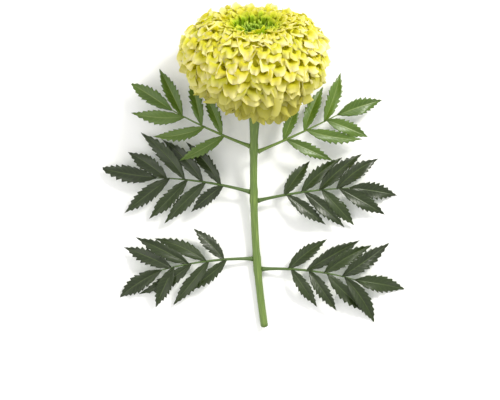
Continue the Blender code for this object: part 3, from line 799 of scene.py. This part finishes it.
def leaf_tissue(name, top, tone_and_sheen, vein, underside=False):
    """Marigold leaf: a thin waxy blade, semi-gloss above, with a paler midrib and side veins."""
    made, tree = blank_material(name)
    uv = node(tree, "UVMap", {"uv_map": "UVMap"})
    across = node(tree, "SeparateXYZ", out="X", Vector=uv)
    along = node(tree, "SeparateXYZ", out="Y", Vector=uv)
    tone = node(tree, "Attribute", {"attribute_name": "tone"}, out="Fac")
    place = node(tree, "TexCoord", out="Object")
    cloud = node(tree, "TexNoise", Vector=place, Scale=1 / LEAF_CLOUDS, Detail=4.0)
    # Lighter green in clouds over the blade and on some leaflets at random: partly the leaf's own
    # tone, partly a painted sheen.
    clouded = node(tree, "Math", TIMES, i0=cloud, i1=0.7)
    colour = node(tree, "Mix", COLOURS, out=2, i0=clouded, i6=top, i7=tone_and_sheen)
    lighter = node(tree, "Math", TIMES, i0=tone, i1=0.6)
    colour = node(tree, "Mix", COLOURS, out=2, i0=lighter, i6=colour, i7=tone_and_sheen)

    centred = node(tree, "Math", {"operation": "SUBTRACT"}, i0=across, i1=0.5)
    off_middle = node(tree, "Math", {"operation": "ABSOLUTE"}, i0=centred)
    midrib = node(tree, "MapRange", Value=off_middle, i1=0.0, i2=0.045, i3=1.0, i4=0.0)
    slant = node(tree, "Math", TIMES, i0=off_middle, i1=0.35)
    slanted = node(tree, "Math", {"operation": "SUBTRACT"}, i0=along, i1=slant)
    turns = node(tree, "Math", TIMES, i0=slanted, i1=2 * math.pi * TEETH)
    bands = node(tree, "Math", {"operation": "SINE"}, i0=turns)
    crests = node(tree, "Math", {"operation": "MAXIMUM"}, i0=bands, i1=0.0)
    side_veins = node(tree, "Math", {"operation": "POWER"}, i0=crests, i1=14.0)
    faint_veins = node(tree, "Math", TIMES, i0=side_veins, i1=0.35)
    lines = node(tree, "Math", {"operation": "MAXIMUM"}, i0=midrib, i1=faint_veins)
    drawn = node(tree, "Math", TIMES, i0=lines, i1=0.65)
    colour = node(tree, "Mix", COLOURS, out=2, i0=drawn, i6=colour, i7=vein)

    grain = node(tree, "TexNoise", Vector=place, Scale=1 / LEAF_GRAIN, Detail=2.0)
    rough = node(tree, "Math", TIMES, i0=grain, i1=0.3)
    relief = node(tree, "Math", {"operation": "SUBTRACT"}, i0=rough, i1=lines)
    bump = node(
        tree, "Bump", {"invert": underside}, Strength=0.5, Distance=0.4 * MM, Height=relief)
    shader = node(
        tree, "BsdfPrincipled", Base_Color=colour, Roughness=0.65 if underside else 0.34,
        Specular_IOR_Level=0.4 if underside else 0.55, Normal=bump)
    glow = node(tree, "BsdfTranslucent", Color=colour)
    both = node(tree, "MixShader", i0=0.15, i1=shader, i2=glow)
    node(tree, "OutputMaterial", Surface=both)
    return made


# each is (blade, rib)
OLD_LEAF = (
    leaf_tissue("leaf_blade_dark", "#12180A", "#37481A", "#5A6C38"),
    stem_tissue("leaf_rib_dark", "#3A5020", "#4C642A", "#667E3C"))
YOUNG_LEAF = (leaf_tissue("leaf_blade_young", "#3E5A14", "#627E28", "#98AA5C"), STEM_TISSUE)
LEAF_UNDER = leaf_tissue("leaf_underside", "#5C7448", "#788E60", "#A2B488", underside=True)


def make_leaf(name, at, side, heading, turn, slopes, roll, length, pairs, finishes, draw):
    """Makes one leaf, which leaves the stem at a share of it and to one side, and its rib."""
    centre = stem_point(at)
    down = stem_point(at + 0.01) - centre
    beside = Vector((-down.y, down.x, 0)).normalized() * side
    level = math.radians(heading) * side
    reach = stem_radius(at) - LEAF_FOOT_DEPTH
    frames = leaf_spine(
        centre + beside * reach, level, math.radians(turn) * side,
        [math.radians(slope) for slope in slopes], math.radians(roll) * side, length)
    rib_length = length * RIB_SHARE

    def to_leaf(flat):
        return on_leaf(frames, length, flat)

    leaflets = new_mesh("tone")
    tip_width = length * LEAFLET_WIDTH
    add_leaflet(leaflets, rib_length - 2 * MM, 0, length * END_LEAFLET, tip_width, to_leaf, draw)
    for pair in range(pairs):
        share = (pair + 0.5) / pairs
        foot = rib_length * mix(LOWEST_LEAFLET, HIGHEST_LEAFLET, share)
        gain = MIDDLE_GAIN * math.sin(math.pi * mix(0.18, 0.72, share))
        angle = math.radians(LEAFLET_ANGLE - ANGLE_LOSS * share)
        for hand in (-1, 1):
            add_leaflet(
                leaflets, foot + hand * LEAFLET_STAGGER, -hand * angle,
                length * (SIDE_LEAFLET + gain), tip_width * mix(0.76, 0.94, share), to_leaf, draw)
    blade = piece(name + "_leaflets", leaflets, finishes[0], name)
    blade.data.materials.append(LEAF_UNDER)
    thicken(blade, LEAF_WALL, back_slot=1)
    rib = new_mesh()
    add_rod(
        rib, lambda u: to_leaf(Vector((0, u * rib_length * 1.1, -RIB_DEPTH))),
        lambda u: mix(LEAF_FOOT_RADIUS, LEAF_TIP_RADIUS, u ** 0.8)
        + LEAF_FOOT_FLARE * math.exp(-u / 0.03), 8, 40)
    bmesh.ops.recalc_face_normals(rib, faces=rib.faces[:])
    rib_piece = piece(name + "_rib", rib, finishes[1], name)


# name, share of the stem, side, heading, turn, climbs, roll, length, leaflet pairs, finishes
LEAVES = (
    ("leaf_upper_left", 0.27, -1, 70, -14, (4, -4, -6), 2, 96 * MM, 3, YOUNG_LEAF),
    ("leaf_upper_right", 0.30, 1, 68, -8, (6, -3, -6), 2, 98 * MM, 3, YOUNG_LEAF),
    ("leaf_middle_left", 0.50, -1, 74, 22, (8, -3, -8), 3, 106 * MM, 4, OLD_LEAF),
    ("leaf_middle_right", 0.54, 1, 76, 18, (8, -3, -8), 3, 104 * MM, 4, OLD_LEAF),
    ("leaf_lower_left", 0.77, -1, 88, 26, (14, 0, -14), 3, 104 * MM, 4, OLD_LEAF),
    ("leaf_lower_right", 0.81, 1, 86, 30, (14, 0, -14), 3, 106 * MM, 4, OLD_LEAF),
)
leaf_draw = random.Random(21)
for leaf in LEAVES:
    make_leaf(*leaf, leaf_draw)

# ------------------------------------------------------------------------------------------------
# The table, a plain pale sheet, with soft studio light from the upper right, and the camera.

floor_mesh = bmesh.new()
bmesh.ops.create_grid(floor_mesh, x_segments=1, y_segments=1, size=3)
floor_data = bpy.data.meshes.new("floor")
floor_mesh.to_mesh(floor_data)
floor_mesh.free()
floor = bpy.data.objects.new("floor", floor_data)
bpy.context.scene.collection.objects.link(floor)
paper, paper_tree = blank_material("white_paper")
paper_shader = node(paper_tree, "BsdfPrincipled", Base_Color="#FAFAFA", Roughness=0.9)
node(paper_tree, "OutputMaterial", Surface=paper_shader)
floor_data.materials.append(paper)

world = bpy.data.worlds.new("studio")
bpy.context.scene.world = world
world.use_nodes = True
backdrop = world.node_tree.nodes["Background"]
backdrop.inputs["Color"].default_value = linear("#FFFFFF")
backdrop.inputs["Strength"].default_value = 0.87


def lamp(name, place, aim, size, power):
    """A square lamp of warm white, in metres and watts."""
    light = bpy.data.lights.new(name, "AREA")
    light.size = size
    light.energy = power
    light.color = linear("#FFFDF6")[:3]
    obj = bpy.data.objects.new(name, light)
    bpy.context.scene.collection.objects.link(obj)
    obj.location = place
    obj.rotation_euler = (Vector(aim) - Vector(place)).to_track_quat("-Z", "Y").to_euler()


lamp("key", (0.72, 0.66, 0.9), (0, -0.03, 0.04), 0.3, 16.4)
lamp("fill", (-0.8, -0.3, 1.2), (0, -0.08, 0.02), 1.2, 6)

VIEW_WIDTH = 0.350  # of what the frame holds at the flower's height
FLOWER_HEIGHT = 0.03
CAMERA_HEIGHT = 1.15  # above the flower
VIEW_CENTRE = (-0.0033, -0.1062)
camera = bpy.data.cameras.new("camera")
camera.lens = camera.sensor_width * CAMERA_HEIGHT / VIEW_WIDTH
camera.clip_start = 0.01
camera_object = bpy.data.objects.new("camera", camera)
bpy.context.scene.collection.objects.link(camera_object)
camera_object.location = (*VIEW_CENTRE, CAMERA_HEIGHT + FLOWER_HEIGHT)
bpy.context.scene.camera = camera_object
bpy.context.scene.view_settings.view_transform = "Standard"
